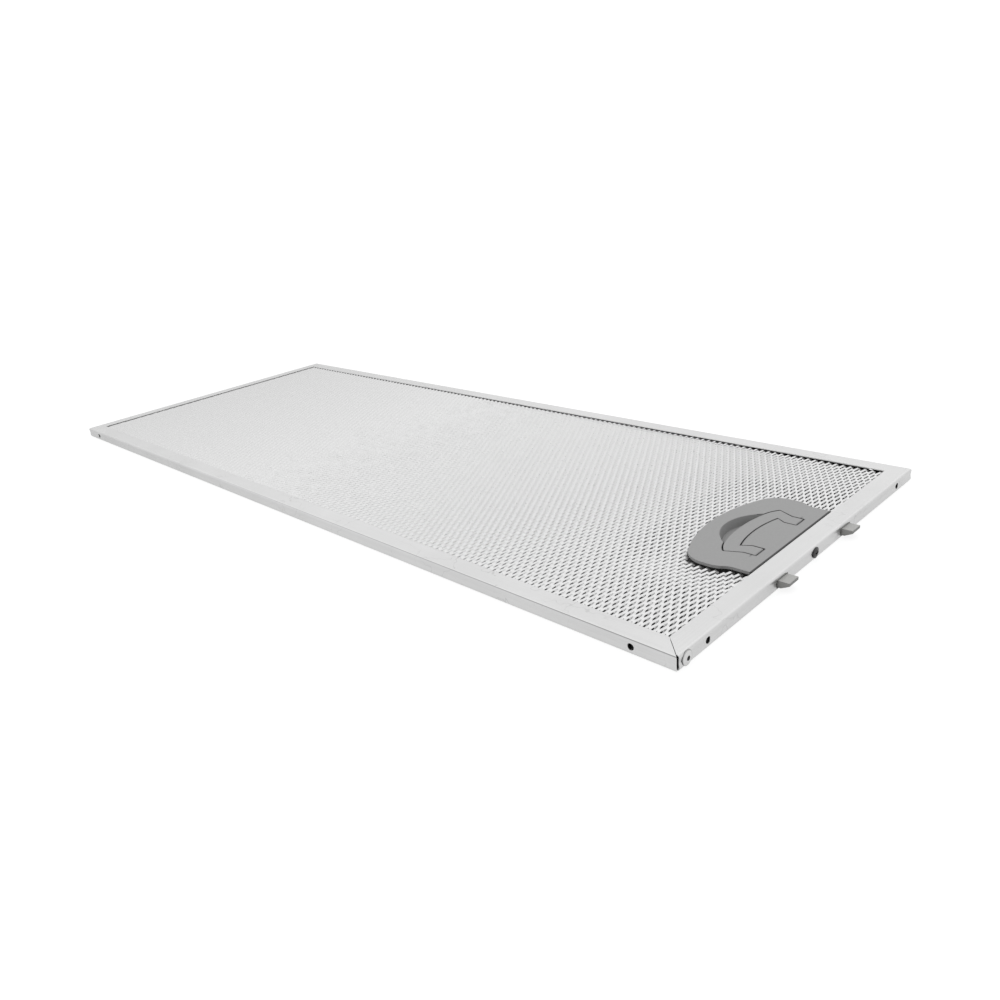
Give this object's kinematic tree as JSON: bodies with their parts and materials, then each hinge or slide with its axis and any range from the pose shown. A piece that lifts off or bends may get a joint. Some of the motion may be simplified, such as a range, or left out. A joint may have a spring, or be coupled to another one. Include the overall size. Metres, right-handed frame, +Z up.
{
  "type": "cooker hood grease filter",
  "caption": "Flat rectangular aluminium mesh grease filter for a cooker hood, with a folded channel frame, a sprung latch with tongues at one end and a flush grey lift handle.",
  "frame": {"origin": "on the resting plane, below the middle of the whole filter with its tongues out", "axes": "+X along the length towards the latch end, +Y across, +Z up towards the side that faces the cook"},
  "size_m": [0.638, 0.25, 0.008],
  "materials": {
    "frame_aluminium": "satin mill finish",
    "mesh_aluminium": "bright expanded foil",
    "layer_aluminium": "dull expanded foil",
    "grey_plastic": "fine moulded texture",
    "latch_plastic": "moulded",
    "spring_steel": "drawn",
    "dark_steel": "black oxide"
  },
  "bodies": {
    "filter": {"frame": "frame_aluminium", "corner_rivet": "frame_aluminium", "rivet_mandrel": "dark_steel", "top_mesh": "mesh_aluminium", "bottom_mesh": "mesh_aluminium", "filter_layer_1": "layer_aluminium", "filter_layer_2": "layer_aluminium", "filter_layer_3": "layer_aluminium", "handle_plate": "grey_plastic", "handle_back": "grey_plastic", "handle_screw": "dark_steel", "latch_spring_left": "spring_steel", "latch_spring_right": "spring_steel"},
    "lift_handle": {"bail": "grey_plastic"},
    "latch": {"latch_slide": "latch_plastic"}
  },
  "joints": [
    {"name": "bail_lift", "type": "hinge", "parent": "filter", "child": "lift_handle", "pos_m": [0.2918, 0, 0.0063], "axis": [0, 1, 0], "range_deg": [0, 90], "stiffness_Nm_per_rad": 0.0016, "springref_deg": -106},
    {"name": "latch_retract", "type": "slide", "parent": "filter", "child": "latch", "axis": [-1, 0, 0], "range_m": [0, 0.0052], "deforming": ["latch_spring_left", "latch_spring_right"]}
  ],
  "couplings": [
    {"joint": "latch_retract", "follows": "bail_lift", "m_per_rad": 0.0032411}
  ]
}
